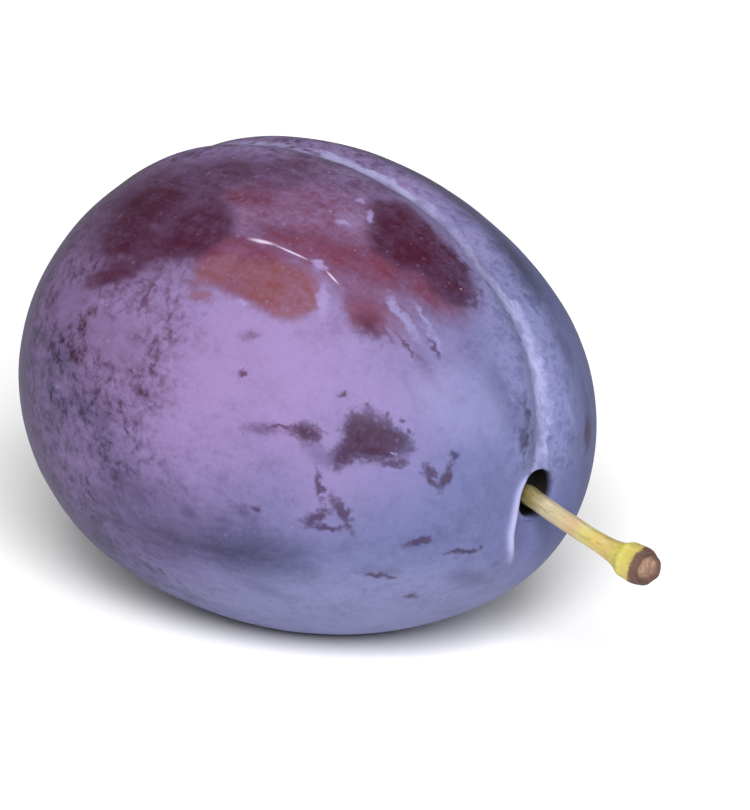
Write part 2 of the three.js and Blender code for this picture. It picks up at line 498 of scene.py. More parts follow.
def useGroup(tree, group, **values):
    return addNode(tree, "ShaderNodeGroup", values, node_tree=group).outputs[0]


# Small spots, some of a cloud of them, of uneven size.
def makeSpotsGroup():
    group, given, mask = newMaskGroup("spots", ["Place"], ["Spacing", "Radius", "Share"])
    perSpacing = calc(group, "DIVIDE", 1, given["Spacing"])
    values = {"Vector": scaled(group, given["Place"], perSpacing), "Scale": 1}
    cells = addNode(group, "ShaderNodeTexVoronoi", values).outputs
    chance = addNode(group, "ShaderNodeSeparateColor", {0: cells["Color"]}).outputs
    kept = calc(group, "LESS_THAN", chance[0], given["Share"])
    reach = times(group, given["Radius"], perSpacing)
    reach = times(group, reach, weighted(group, 0.6, (chance[1], 0.8)))
    nearness = calc(group, "DIVIDE", cells["Distance"], reach)
    group.links.new(times(group, step(group, nearness, 0.4, 1, 1, 0), kept), mask)
    return group


# A mark's mask from the distance inside it, with its edge frayed by a noise.
def makeFrayedGroup():
    group, given, mask = newMaskGroup("frayedMark", [], ["Inside", "Fray", "Ragged", "Softness"])
    inside = weighted(group, given["Inside"], (given["Fray"], given["Ragged"]))
    outer = times(group, given["Softness"], -1)
    group.links.new(step(group, inside, outer, given["Softness"]), mask)
    return group


# A fine mark's mask: an oval round a middle, turned and frayed.
def makeOvalGroup():
    group, given, mask = newMaskGroup("ovalMark", ["Place", "Middle", "Turn", "HalfSizes"], ["Fray"])
    inOval = placeWithin(group, given["Place"], given["Middle"], given["Turn"], given["HalfSizes"])
    out = addNode(group, "ShaderNodeVectorMath", {0: inOval}, operation="LENGTH").outputs["Value"]
    frayed = calc(group, "ADD", out, given["Fray"])
    group.links.new(step(group, frayed, 0.25, 1.4, 1, 0), mask)
    return group


# The skin and its bloom.
skinColours = {
    "inky": rgb(0.014, 0.01, 0.03),
    "wine": rgb(0.037, 0.005, 0.015),
    "rust": rgb(0.118, 0.031, 0.028),
    "blush": rgb(0.088, 0.012, 0.02),
    "lenticel": rgb(0.36, 0.22, 0.2),
    # the cool side's bloom, darker partly as painted shade
    "coolBloom": rgb(0.106, 0.114, 0.24),
    "warmBloom": rgb(0.198, 0.139, 0.288),
    # pale bloom, also used for painted light on the underside and in the furrow
    "paleBloom": rgb(0.35, 0.345, 0.56),
    # a painted highlight's colour, for the thin bright lines
    "glint": rgb(0.42, 0.33, 0.44),
    # near black: painted shade down the pit's wall
    "pitWall": rgb(0.008, 0.006, 0.006),
}
# Directions in the fruit's own frame: to its side that had the sun, to its top, and to its underside, which
# is painted paler as light bounced up from the floor.
skinFacings = {
    "sunny": (-0.5, -0.55, 0.65),
    "overhead": (-0.1, -0.5, 0.9),
    "underneath": (0.35, -0.3, -0.9),
}
# The clouds in the bloom, from broad drifts to fine powder. Strokes are drawn out along the core.
bloomClouds = {
    "broad": {"size": 12, "detail": 1, "roughness": 0.5},
    "middling": {"size": 3.6, "distortion": 0.5},
    "blotches": {"size": 1.4, "detail": 4, "roughness": 0.65},
    "powder": {"size": 0.45, "detail": 4, "roughness": 0.7},
    "strokes": {"size": 0.9, "distortion": 0.3},
    "mottles": {"size": 0.8, "distortion": 0.3},
    "stirring": {"size": 0.9, "detail": 2},
}
# How thick the bloom lies where it is whole, and how much each thing in it adds to that or takes off.
bloomAmounts = {
    "whole": 0.88,
    "broad": 0.5,
    "middling": 0.45,
    "blotches": 0.35,
    "strokes": 0.4,
    "mottles": -0.46,
    "smears": -0.22,
    # thinner towards the blossom tip, partly as painted shade on that side
    "tipward": -0.33,
    "powder": 0.45,
    "dusty": 0.1,
    "piled": 0.55,
}
# Between which values each thing on the skin sets in, and from what to what if not from 0 to 1.
skinSteps = {
    "onCrest": (0.05, 1.1),
    "inPit": (0.1, 0.8),
    "warmVeil": (-8, 14),
    "warmSkin": (7, 13),
    "towardsTip": (-14, 8, 1, 0),
    "mottles": (0.12, -0.26),
    "mottledTip": (0, 0.45, 0.15, 1),
    "mottledClouds": (-0.15, 0.12, 1, 0.6),
    "smears": (0.1, 0.25),
    "inFurrow": (0.3, 1.3, 1, 0),
    "uneven": (-0.3, 0.1, 0.3, 1),
    "offTip": (-18, -3),
    "threads": (0, 0.14, 1, 0),
    "besideFurrow": (1.5, 6, 1, 0),
    "underneath": (12, 17),
    "bloom": (-0.05, 1.05),
    "roughness": (0, 0.8, 0.45, 0.62),
}
# How much paler the bloom is where it is piled up or dusty, where the furrow has a painted highlight, and on
# the underside as painted light bounced up from the floor.
paleAmounts = {"piled": 0.75, "dusty": 0.12, "onCrest": 0.1, "pale": 0.13, "underneath": 0.3}
# How much bloom each kind of mark leaves, and how ragged and how soft its edges are.
markKinds = {
    "worn": {"left": 0.48, "ragged": 3, "soft": 2, "cloudy": 1.6},
    "hazy": {"left": 0.42, "ragged": 2.8, "soft": 1.5, "cloudy": 2.2},
    "rubbed": {"left": 0.28, "ragged": 3, "soft": 1.6, "cloudy": 1.8},
    "faint": {"left": 0.6, "ragged": 2, "soft": 0.7, "cloudy": 1},
    "thin": {"left": 0.42, "ragged": 1.3, "soft": 0.45, "cloudy": 1},
    "rust": {"left": 0.28, "ragged": 1.8, "soft": 0.55, "cloudy": 1.8},
    "blush": {"left": 0.25, "ragged": 2.4, "soft": 0.8, "cloudy": 1.3},
    "bare": {"left": 0.13, "ragged": 2.4, "soft": 0.8, "cloudy": 1.5},
    "scraped": {"left": 0.13, "ragged": 1.5, "soft": 0.6, "cloudy": 1.5},
}
pileKinds = {"dusty": {"ragged": 2.4, "soft": 1.3}}
# Where the bloom is thin, gone or thick. Each mark is at a place along the core from its middle and
# round it from the suture. Its oval has a half length, a half width and a turn from the core's direction.
bloomMarks = {
    # scuffed through to brownish red
    "rust": [
        {"at": (5.2, -51), "oval": (3, 2.3, 12)},
        {"at": (7, -52), "oval": (2.1, 1.9, 35)},
        {"at": (0.7, -51.5), "oval": (2.3, 1.3, 28)},
    ],
    # rubbed to red, with some bloom left
    "blush": [
        {"at": (7, -37), "oval": (3.3, 1.4, 9)},
        {"at": (3.5, -38), "oval": (2.6, 1.1, 8)},
        {"at": (10.4, -32), "oval": (2, 1.3, -16)},
        {"at": (11.9, -47), "oval": (1.8, 1.3, -8)},
        {"at": (1.3, -48), "oval": (2.4, 1.8, 14)},
        {"at": (3.2, -49), "oval": (3, 2.4, 8)},
        {"at": (-0.6, -46), "oval": (2.2, 1.4, 20)},
    ],
    # a reddish haze round them
    "hazy": [
        {"at": (4.6, -27), "oval": (5.6, 3.6, 6)},
        {"at": (9.8, -37), "oval": (4, 2.6, -10)},
        {"at": (14.1, -27), "oval": (3.4, 2.2, 13)},
        {"at": (-0.5, -32), "oval": (3.2, 2.6, -30)},
        {"at": (13, -42), "oval": (2.2, 1.6, -10)},
    ],
    # rubbed down to dark skin
    "bare": [
        {"at": (9.8, -19), "oval": (3.2, 3, 20)},
        {"at": (13.3, -18), "oval": (3.3, 2.1, -14)},
        {"at": (-3.3, -41), "oval": (2.6, 2.4, 4)},
        {"at": (-4.6, -48), "oval": (3.4, 1.3, 18)},
        {"at": (-8.6, -58), "oval": (2.9, 0.9, 19)},
        {"at": (-9.2, -45), "oval": (3, 2.6, 33)},
        {"at": (7.2, -13), "oval": (1.8, 1.3, 41)},
        {"at": (12.5, -49), "oval": (0.8, 0.5, -20)},
        {"at": (-10, -35), "oval": (3.4, 1.6, 10)},
        # and on the sides turned away
        {"at": (-8, 61), "oval": (3.6, 1.8, 25)},
        {"at": (-4, 70), "oval": (2.4, 1.1, -15)},
    ],
    # scraped off in small ragged places
    "scraped": [
        {"at": (15.9, -79), "oval": (2.1, 1.3, -17)},
        {"at": (15, -86), "oval": (1.5, 0.7, 67)},
        {"at": (17.2, -76), "oval": (1.4, 0.7, -5)},
        {"at": (12.1, -84), "oval": (1, 0.6, -3)},
        {"at": (16.3, -82), "oval": (1.4, 0.8, 20)},
        {"at": (22.1, 57), "oval": (1.2, 0.6, 63)},
        {"at": (-11, 54), "oval": (2.2, 0.9, 60)},
        {"at": (9, 96), "oval": (2.2, 1.2, -30)},
        {"at": (10.4, 91), "oval": (1.6, 0.6, 20)},
        {"at": (15, 45), "oval": (1.4, 0.6, 10)},
        {"at": (-16, 143), "oval": (2.4, 1.3, 10)},
        {"at": (-14, 150), "oval": (1.6, 0.8, -40)},
        {"at": (-18, -19), "oval": (1.8, 0.9, 50)},
        {"at": (4, 169), "oval": (2, 0.9, 0)},
    ],
    "thin": [
        {"at": (16, -74), "oval": (1.4, 1, -6)},
        {"at": (17.6, -78), "oval": (1.7, 1.2, -5)},
        {"at": (9.3, -86), "oval": (1.9, 0.4, 12)},
        {"at": (5.7, -65), "oval": (1, 0.4, 24)},
        {"at": (-1.3, -111), "oval": (0.7, 0.6, -46)},
        {"at": (3.5, -113), "oval": (0.7, 0.6, -17)},
        {"at": (8, -109), "oval": (0.6, 0.5, -42)},
        {"at": (-5, -94), "oval": (0.8, 0.4, -60)},
    ],
    # a little thinner
    "faint": [
        {"at": (17.1, -130), "oval": (1.4, 0.4, -24)},
        {"at": (8.2, -136), "oval": (2.4, 0.6, -28)},
        {"at": (21.9, -24), "oval": (1.5, 0.7, -9)},
        {"at": (22.6, -26), "oval": (2.2, 0.9, -2)},
        {"at": (19.4, 21), "oval": (1.8, 1, 35)},
        {"at": (21.4, 48), "oval": (2.2, 0.6, 60)},
        {"at": (2, -113), "oval": (2.3, 1.2, -2)},
        {"at": (-6, -74), "oval": (3, 1.6, -10)},
        {"at": (-12, -68), "oval": (2.6, 1.6, 34)},
        {"at": (17, -48), "oval": (2.4, 0.5, -20)},
        {"at": (21.3, -31), "oval": (2.8, 1, -13)},
        {"at": (21.1, -153), "oval": (2, 0.9, -67)},
        {"at": (13.4, -89), "oval": (1.6, 0.8, -21)},
    ],
    # dusky round the bare places
    "rubbed": [
        {"at": (12.2, -27), "oval": (3.2, 1.9, 10)},
        {"at": (-6.5, -39), "oval": (4.4, 2.4, 12)},
        {"at": (-3.5, -31), "oval": (4, 2, 15)},
        {"at": (-11.5, -43), "oval": (3, 2.6, 20)},
        # darker on the top-left shoulder: partly painted shade
        {"at": (-6, -22), "oval": (3.4, 2.4, 48)},
        {"at": (-11, -32), "oval": (4.8, 3, 8)},
        {"at": (-1.5, -13), "oval": (4.6, 1.7, 40)},
        {"at": (3.5, -8), "oval": (2.6, 1.1, 15)},
        {"at": (5.6, -123), "oval": (4.6, 0.6, -2)},
        # these two, on the far cheek beside the furrow, are partly painted shade
        {"at": (5, 16), "oval": (5, 1.1, -3)},
        {"at": (13, 15), "oval": (4, 1.2, -6)},
        {"at": (-6, 65), "oval": (6, 3.4, 25)},
        {"at": (9, 94), "oval": (3.4, 2, -20)},
        {"at": (-16, 141), "oval": (3.6, 2.2, 20)},
        # darker along the top towards the tip: partly painted shade
        {"at": (-17, -22), "oval": (3, 1.8, 50)},
    ],
    # worn over a wider place
    "worn": [
        {"at": (-8, -35), "oval": (8, 6, 15)},
        {"at": (3, -17), "oval": (7, 4, 0)},
        {"at": (7.6, -120.5), "oval": (5.6, 2.6, -13)},
        {"at": (-1, -118), "oval": (4.6, 3.6, -19)},
        {"at": (2, 59), "oval": (6, 2.4, 10)},
        {"at": (-12, 97), "oval": (5, 3, -20)},
        {"at": (11, 128), "oval": (5.6, 3, 15)},
        {"at": (-6, 179), "oval": (6, 4, 0)},
        {"at": (-19, -89), "oval": (3, 2, 60)},
    ],
    # dusty with more of it
    "dusty": [
        {"at": (-1.1, -34), "oval": (1.5, 0.8, -14)},
        {"at": (20, -50), "oval": (3.6, 2.6, 16)},
        {"at": (6.5, -22), "oval": (1.6, 0.5, -35)},
        {"at": (5.4, -24), "oval": (1, 0.5, -5)},
        {"at": (2.6, -7), "oval": (3.6, 1.4, 20)},
        {"at": (10, 110), "oval": (3, 0.8, -25)},
    ],
}
# Strokes, flecks and dabs too fine for the mesh to hold, placed in the same way.
fineMarks = {
    # thin bright lines: painted highlights
    "glint": [
        {"at": (2.2, -41), "oval": (1.1, 0.17, 6)},
        {"at": (4.7, -41), "oval": (1.5, 0.09, -2)},
        {"at": (8.4, -42.5), "oval": (0.8, 0.08, -19)},
    ],
    # piled up a little
    "pale": [
        {"at": (6.9, -41), "oval": (0.9, 0.36, -5)},
        {"at": (9.1, -50), "oval": (1.5, 0.4, -57)},
        {"at": (14.2, -41), "oval": (2.5, 0.36, -15)},
        {"at": (15, -36), "oval": (1.6, 0.2, -12)},
        {"at": (16.6, -39), "oval": (1, 0.22, -15)},
        {"at": (5.8, -26), "oval": (0.6, 0.45, 0)},
        {"at": (4.9, -16), "oval": (0.4, 0.3, 10)},
        {"at": (6.6, -20), "oval": (0.7, 0.35, -34)},
        {"at": (3.9, -58), "oval": (0.35, 0.2, 2)},
        {"at": (17.8, -80), "oval": (0.25, 0.15, -11)},
        {"at": (22.4, 26), "oval": (1.8, 0.3, 50)},
        # this one, low on the crest by the cavity, is a painted highlight of the crest's lit side
        {"at": (22.9, -163), "oval": (1.8, 0.7, 52)},
        {"at": (-4, 77), "oval": (2.4, 0.2, 30)},
        {"at": (10, 110), "oval": (3, 0.2, -25)},
        {"at": (-8, 152), "oval": (2.2, 0.25, 15)},
    ],
    # scratched nearly bare
    "scratched": [
        {"at": (15.3, -47), "oval": (1.4, 0.2, -11)},
        {"at": (16.8, -42), "oval": (1, 0.18, -23)},
        {"at": (13.7, -48), "oval": (1, 0.22, -17)},
        {"at": (12.4, -82), "oval": (0.75, 0.4, -8)},
        {"at": (17.6, -69), "oval": (0.3, 0.2, -14)},
        {"at": (18.3, -72), "oval": (0.35, 0.2, -38)},
        {"at": (16.6, -70), "oval": (0.3, 0.16, 20)},
        {"at": (15.3, -70), "oval": (0.35, 0.24, -29)},
        {"at": (18.7, -77), "oval": (0.3, 0.2, -4)},
        {"at": (14.6, -74), "oval": (0.35, 0.2, -19)},
        {"at": (20.9, -72), "oval": (0.42, 0.36, -28)},
        {"at": (22.3, 58), "oval": (0.8, 0.45, 61)},
        {"at": (22.9, -31), "oval": (1.4, 0.6, -37)},
        {"at": (22.3, -21), "oval": (1.3, 0.4, -8)},
        {"at": (-4.2, -62), "oval": (1.6, 0.3, 83)},
        {"at": (-2.5, -95), "oval": (0.5, 0.3, -51)},
        {"at": (2, 130), "oval": (2, 0.2, 20)},
        {"at": (-13, 60), "oval": (1.4, 0.25, -40)},
    ],
    "smudged": [
        {"at": (13.6, -98), "oval": (1.4, 0.36, -73)},
        {"at": (13.5, -108), "oval": (1.4, 0.6, 33)},
        {"at": (15.3, -106), "oval": (1.7, 0.6, -60)},
        {"at": (14.2, -111), "oval": (1.8, 0.34, -1)},
        {"at": (20.8, -82), "oval": (1.5, 0.5, 87)},
        {"at": (20.2, -86), "oval": (1.4, 0.5, -41)},
        {"at": (18, -84), "oval": (1.3, 0.35, 10)},
        {"at": (19.7, -117), "oval": (1.2, 0.4, 17)},
        {"at": (21.6, -130), "oval": (1.7, 0.3, -21)},
        {"at": (17.8, -148), "oval": (0.6, 0.4, -28)},
        {"at": (16.9, -132), "oval": (1.5, 0.3, -23)},
        {"at": (9.2, -108), "oval": (0.5, 0.3, -13)},
        {"at": (10.3, -84), "oval": (1.4, 0.16, 12)},
        {"at": (6.4, -74), "oval": (0.5, 0.3, 19)},
        {"at": (13.6, -70), "oval": (0.4, 0.3, 6)},
    ],
    # down to rust in a dot and a dab
    "rusty": [
        {"at": (12.6, -82), "oval": (0.28, 0.2, -13)},
        {"at": (0.4, -59), "oval": (1.2, 0.55, 11)},
    ],
}
fineLeft = {"pale": 0.95, "scratched": 0.33, "smudged": 0.3, "rusty": 0.4}
fineDepth = 1.5  # how far in and out a fine mark reaches
farOutside = -2.5  # no vertex is told a distance from a mark beyond this


# Where a mark's middle lies in the fruit's own frame, and its axes: lengthways, sideways and outwards.
def placeOnSkin(mark):
    def pointAt(along, around):
        return plumPoint(along, outlineAt(math.acos(along / halfLength))[1], around)

    nudge = 0.02
    along, angle = mark["at"][0], math.radians(mark["at"][1])
    spot = pointAt(along, angle)
    lengthways = pointAt(along + nudge, angle) - pointAt(along - nudge, angle)
    sideways = pointAt(along, angle + nudge) - pointAt(along, angle - nudge)
    outwards = lengthways.cross(sideways).normalized()
    lengthways.normalize()
    lengthways.rotate(Matrix.Rotation(math.radians(mark["oval"][2]), 3, outwards))
    return spot, Matrix((lengthways, outwards.cross(lengthways), outwards))


# The greater of two depths, with the crease between them rounded off.
def merged(first, second, over=1.2):
    near = max(0, over - abs(first - second)) / over
    return max(first, second) + near * near * over / 4


# Gives every vertex its distance inside the nearest mark of each kind, below 0 outside it.
def layMarks(body, core):
    body.verts.ensure_lookup_table()
    tree = kdtree.KDTree(len(body.verts))
    for vert in body.verts:
        tree.insert(vert.co, vert.index)
    tree.balance()
    for kind, marks in bloomMarks.items():
        layer = body.verts.layers.float.new(kind)
        for vert in body.verts:
            vert[layer] = farOutside
        for mark in marks:
            spot, axes = placeOnSkin(mark)
            spot, toMark = tipTurn @ spot + core, axes @ tipTurn.transposed()
            length, width = mark["oval"][:2]
            for place, index, _ in tree.find_range(spot, max(length, width) - farOutside):
                local = toMark @ (place - spot)
                x, y = local.x / length, local.y / width
                ovals = math.hypot(x, y)
                inside = (1 - ovals) * min(length, width)
                if ovals > 1:
                    inside = (1 - ovals) * ovals / math.hypot(x / length, y / width)
                vert = body.verts[index]
                vert[layer] = merged(vert[layer], max(farOutside, inside))


# The mask of all the fine marks of a kind.
def fineMask(tree, oval, place, marks, fray):
    mask = 0
    for mark in marks:
        spot, axes = placeOnSkin(mark)
        turn = axes.transposed().to_euler()
        sizes = (*mark["oval"][:2], fineDepth)
        one = useGroup(tree, oval, Place=place, Middle=spot, Turn=turn, HalfSizes=sizes, Fray=fray)
        mask = greater(tree, mask, one)
    return mask


def makeSkin(core, spots, frayed, oval):
    material, tree, shader = newMaterial("plumSkin", specular=0.08)
    place = addNode(tree, "ShaderNodeTexCoord").outputs["Object"]
    tipped = (0, math.radians(fruitForm["tipped"]), 0)
    inFruit = placeWithin(tree, place, core * millimetre, tipped, (millimetre,) * 3)
    onCrest = step(tree, readLayer(tree, "onCrest"), *skinSteps["onCrest"])
    # the pit's wall is painted dark as shade
    inPit = step(tree, readLayer(tree, "depthInPit"), *skinSteps["inPit"])

    drawnOut = vectorCalc(tree, "MULTIPLY", inFruit, (0.22, 1, 1))
    *clouds, stirring = [
        cloud(tree, drawnOut if name == "strokes" else inFruit, **values)
        for name, values in bloomClouds.items()
    ]
    broad, middling, blotches, powder, strokes, mottles = [centred(tree, made) for made in clouds]

    # the side that had the sun is redder, and the other bluer and darker, which is partly painted shade
    sunny = weighted(tree, dotWith(tree, inFruit, skinFacings["sunny"]), (broad, 14), (middling, 4))
    warmVeil = step(tree, sunny, *skinSteps["warmVeil"])
    alongCore = addNode(tree, "ShaderNodeSeparateXYZ", {0: inFruit}).outputs[0]
    towardsTip = step(tree, weighted(tree, alongCore, (broad, 12)), *skinSteps["towardsTip"])
    overhead = dotWith(tree, inFruit, skinFacings["overhead"])
    overhead = weighted(tree, overhead, (middling, 6), (towardsTip, -4))
    warmSkin = step(tree, overhead, *skinSteps["warmSkin"])

    # how thick the bloom lies, with 1 for whole and 0 for gone
    mottles = step(tree, mottles, *skinSteps["mottles"])
    mottles = times(tree, mottles, step(tree, towardsTip, *skinSteps["mottledTip"]))
    mottles = times(tree, mottles, step(tree, middling, *skinSteps["mottledClouds"]))
    smears = step(tree, weighted(tree, blotches, (strokes, 0.6)), *skinSteps["smears"])
    bloom = summed(
        tree,
        bloomAmounts,
        bloomAmounts["whole"],
        broad=broad,
        middling=middling,
        blotches=blotches,
        strokes=strokes,
        mottles=mottles,
        smears=smears,
        tipward=towardsTip,
        powder=powder,
    )
    grains = useGroup(tree, spots, Place=inFruit, Spacing=0.8, Radius=0.2, Share=0.3)
    leftOver = weighted(tree, 0, (middling, 0.2), (blotches, 0.25), (strokes, 0.2), (powder, 0.25))
    coarseFray = weighted(tree, blotches, (middling, 0.6), (powder, 0.3))
    fineFray = weighted(tree, blotches, (powder, 1), (strokes, 0.4))
    masks = {}
    for kind, edge in (markKinds | pileKinds).items():
        fray = fineFray if kind in ("thin", "scraped") else coarseFray
        edges = {"Fray": fray, "Ragged": edge["ragged"], "Softness": edge["soft"]}
        masks[kind] = useGroup(tree, frayed, Inside=readLayer(tree, kind), **edges)
    # the fine marks wander a little, apart from the painted highlights
    stirring = vectorCalc(tree, "SUBTRACT", stirring.outputs["Color"], (0.5,) * 3)
    stirred = vectorCalc(tree, "ADD", inFruit, scaled(tree, stirring, 1.3))
    for kind, marks in fineMarks.items():
        fray = times(tree, fineFray, 0.5 if kind == "glint" else 1.4)
        masks[kind] = fineMask(tree, oval, inFruit if kind == "glint" else stirred, marks, fray)
    for kind, mark in markKinds.items():
        left = weighted(tree, mark["left"], (leftOver, mark["cloudy"]), (grains, 0.16))
        bloom = blended(tree, masks[kind], bloom, left)
    for kind, left in fineLeft.items():
        bloom = blended(tree, masks[kind], bloom, left)

    # the furrow and the crest keep a paler bloom, with a lace of it beside them; in the furrow it is partly
    # a painted highlight
    fromLine = readLayer(tree, "fromLine")
    ragged = weighted(tree, fromLine, (blotches, 2), (middling, 0.8), (strokes, 1.6), (powder, 1))
    uneven = step(tree, weighted(tree, blotches, (middling, 1)), *skinSteps["uneven"])
    offTip = step(tree, weighted(tree, alongCore, (middling, 9)), *skinSteps["offTip"])
    inFurrow = times(tree, step(tree, ragged, *skinSteps["inFurrow"]), times(tree, uneven, offTip))
    threads = step(tree, calc(tree, "ABSOLUTE", blotches), *skinSteps["threads"])
    lace = times(tree, step(tree, fromLine, *skinSteps["besideFurrow"]), threads)
    piled = greater(tree, greater(tree, inFurrow, times(tree, lace, 0.2)), onCrest)
    bloom = summed(tree, bloomAmounts, bloom, dusty=masks["dusty"], piled=piled)
    bloom = step(tree, bloom, *skinSteps["bloom"])

    # dark skin, redder where it had the sun or was rubbed, with the bloom over it
    scuffed = greater(tree, masks["scraped"], masks["smudged"])
    warmSkin = greater(tree, warmSkin, times(tree, scuffed, 0.5))
    skin = mixed(tree, warmSkin, skinColours["inky"], skinColours["wine"])
    reddened = greater(tree, times(tree, masks["hazy"], 0.85), masks["blush"])
    reddened = calc(tree, "SUBTRACT", reddened, masks["bare"])
    rusted = greater(tree, masks["rust"], masks["rusty"])
    lenticels = useGroup(tree, spots, Place=inFruit, Spacing=1.9, Radius=0.13, Share=0.7)
    lenticels = times(tree, lenticels, 0.5)
    skin = painted(tree, skin, skinColours, blush=reddened, rust=rusted, lenticel=lenticels)
    veil = mixed(tree, warmVeil, skinColours["coolBloom"], skinColours["warmBloom"])
    # paler on the underside: painted light bounced up from the floor
    underneath = dotWith(tree, inFruit, skinFacings["underneath"])
    underneath = step(tree, underneath, *skinSteps["underneath"])
    paler = summed(tree, paleAmounts, piled=piled, dusty=masks["dusty"], onCrest=onCrest)
    paler = summed(tree, paleAmounts, paler, pale=masks["pale"], underneath=underneath)
    veil = mixed(tree, paler, veil, skinColours["paleBloom"])
    colour = mixed(tree, times(tree, bloom, 0.92), skin, veil)
    # painted highlights in thin lines, then painted shade down the pit's wall
    colour = painted(tree, colour, skinColours, glint=masks["glint"], pitWall=inPit)

    roughness = step(tree, bloom, *skinSteps["roughness"])
    height = weighted(tree, times(tree, powder, 0.02), (blotches, 0.07))
    linkFinish(tree, shader, colour, roughness, height)
    return material


# The stem.
stemForm = {
    "length": 16,  # measured along the fruit's core
    "scarDepth": 0.3,
    "footDrop": 0.2,  # how far its foot stands below the pit's middle
    "start": {"sideways": -14, "up": -4},  # how its foot points from the core, towards +Y and +Z
    "reach": {"sideways": -12, "up": -2},  # how its far end lies from its foot
    "end": {"sideways": -9, "up": 2},  # how its far end points
    "knobStarts": 0.7,  # shares of its length
    "knobFull": 0.9,
    "lobes": 3,
    "lobeShare": 0.05,
    "seatGap": 0.45,  # between its foot and the pit's floor
    "around": 36,
    "ridges": 7,
    "ridgeShare": 0.035,
    "ridgeTurn": 3,
    "warp": 0.05,
    "warpSize": 1.3,
    "grain": 0.22,  # on the scar
    "grainSize": 0.5,
    "smoothing": 2,
}
stemRadii = {"foot": 0.85, "shank": 0.75, "neck": 0.75, "knob": 1.52, "scar": 1.2}
# The outline of its parts from the foot on, in shares of its length and of the part's radius.
stemOutline = {
    "foot": [(0, 0), (0, 0.6), (0.05, 1), (0.11, 0.88)],
    "shank": [(0.2, 1), (0.3, 0.98), (0.4, 1), (0.5, 0.98), (0.6, 1)],
    "neck": [(0.7, 1.06), (0.77, 1.25), (0.82, 1.5)],
    "knob": [(0.855, 0.94), (0.875, 0.97), (0.895, 0.95), (0.93, 1), (0.97, 0.98), (0.99, 0.92), (1, 0.84)],
}
# The hollow of the scar at its end, in shares of the scar's depth and radius.
scarOutline = [(0, 1), (0.5, 0.9), (1, 0.72), (0.9, 0.45), (0.5, 0.2), (0.5, 0)]


def stemSection():
    length = stemForm["length"]
    side = [
        (share * length, stemRadii[part] * out)
        for part, outline in stemOutline.items()
        for share, out in outline
    ]
    depth, radius = stemForm["scarDepth"], stemRadii["scar"]
    return side + [(length - depth * down, radius * out) for down, out in scarOutline]


# A step of so many millimetres along the core, turned away from it by two angles.
def stepBy(along, angles):
    sideways, up = math.radians(angles["sideways"]), math.radians(angles["up"])
    return Vector((1, math.tan(sideways), math.tan(up))) * along


# A point of the stem's smooth curve from its foot, and the way it runs there.
def stemCurve(share):
    pitFloor = pitLip - cavityForm["pitDepth"]
    footUp = -fruitForm["droop"] * ((pitFloor / halfLength) ** 2 - 1 / 3)
    footUp -= cavityForm["hang"] + stemForm["footDrop"]
    foot = Vector((pitFloor + stemForm["seatGap"], footUp * math.sin(suture), footUp * math.cos(suture)))
    foot.y += fruitForm["bend"] * nearStem(pitFloor)
    third = stemForm["length"] / 3
    farEnd = foot + stepBy(stemForm["length"], stemForm["reach"])
    points = [foot, foot + stepBy(third, stemForm["start"]), farEnd - stepBy(third, stemForm["end"]), farEnd]
    while len(points) > 2:
        points = [first.lerp(second, share) for first, second in zip(points, points[1:])]
    return points[0].lerp(points[1], share), points[1] - points[0]


def stemPlace(along, out, around):
    share = along / stemForm["length"]
    straight = Vector((along, out * math.sin(around), out * math.cos(around)))
    onKnob = smoothStep(share, stemForm["knobStarts"], stemForm["knobFull"])
    shape = 1 + stemForm["lobeShare"] * onKnob * math.cos(stemForm["lobes"] * around)
    turned = stemForm["ridges"] * around + stemForm["ridgeTurn"] * share
    shape += stemForm["ridgeShare"] * math.cos(turned)
    shape += stemForm["warp"] * noise.noise(straight / stemForm["warpSize"])
    point, tangent = stemCurve(min(1, max(0, share)))
    spoke = Vector((0, straight.y, straight.z)) * shape
    onScar = smoothStep(share, 0.985, 1) * smoothStep(out, 1.3, 0.9)
    spoke.x = onScar * stemForm["grain"] * noise.noise(straight / stemForm["grainSize"])
    spoke.rotate(Vector((1, 0, 0)).rotation_difference(tangent))
    beyond = tangent.normalized() * (along - min(along, stemForm["length"]))
    return tipTurn @ (point + spoke + beyond), {"straight": straight}


# Its colours along its length, and those of its marks.
stemColours = [
    # the dark foot, down in the pit, is partly painted shade
    (0, rgb(0.115, 0.098, 0.041)),
    (0.15, rgb(0.18, 0.148, 0.057)),
    (0.23, rgb(0.39, 0.33, 0.21)),
    (0.38, rgb(0.41, 0.345, 0.2)),
    (0.45, rgb(0.43, 0.285, 0.16)),
    (0.53, rgb(0.44, 0.41, 0.14)),
    (0.63, rgb(0.48, 0.365, 0.1)),
    (0.75, rgb(0.459, 0.344, 0.115)),
    (0.83, rgb(0.492, 0.451, 0.082)),
    (0.945, rgb(0.41, 0.328, 0.082)),
    (0.965, rgb(0.125, 0.066, 0.045)),
    (1, rgb(0.095, 0.048, 0.038)),
]
stemMarks = {
    "moss": rgb(0.107, 0.107, 0.01),
    "cream": rgb(0.541, 0.492, 0.328),
    "speck": rgb(0.131, 0.074, 0.033),
    "scar": rgb(0.328, 0.197, 0.139),
}
stemClouds = {
    "patches": {"size": 1.6},
    "streaks": {"size": 0.5},
    "fine": {"size": 0.22, "detail": 4, "roughness": 0.7},
}
stemSteps = {
    "onShank": (0.88, 0.93, 1, 0),
    "underside": (0.2, -1),
    "outwards": (0.5, 0.8),
    "moss": (0.06, 0.24),
    "cream": (-0.08, -0.2),
    "inScar": (1.1, 0.6),
    "grain": (-0.2, 0.15, 0.5, 1),
    "onBark": (0.94, 0.97),
    "roughness": (0, 1, 0.48, 0.8),
}


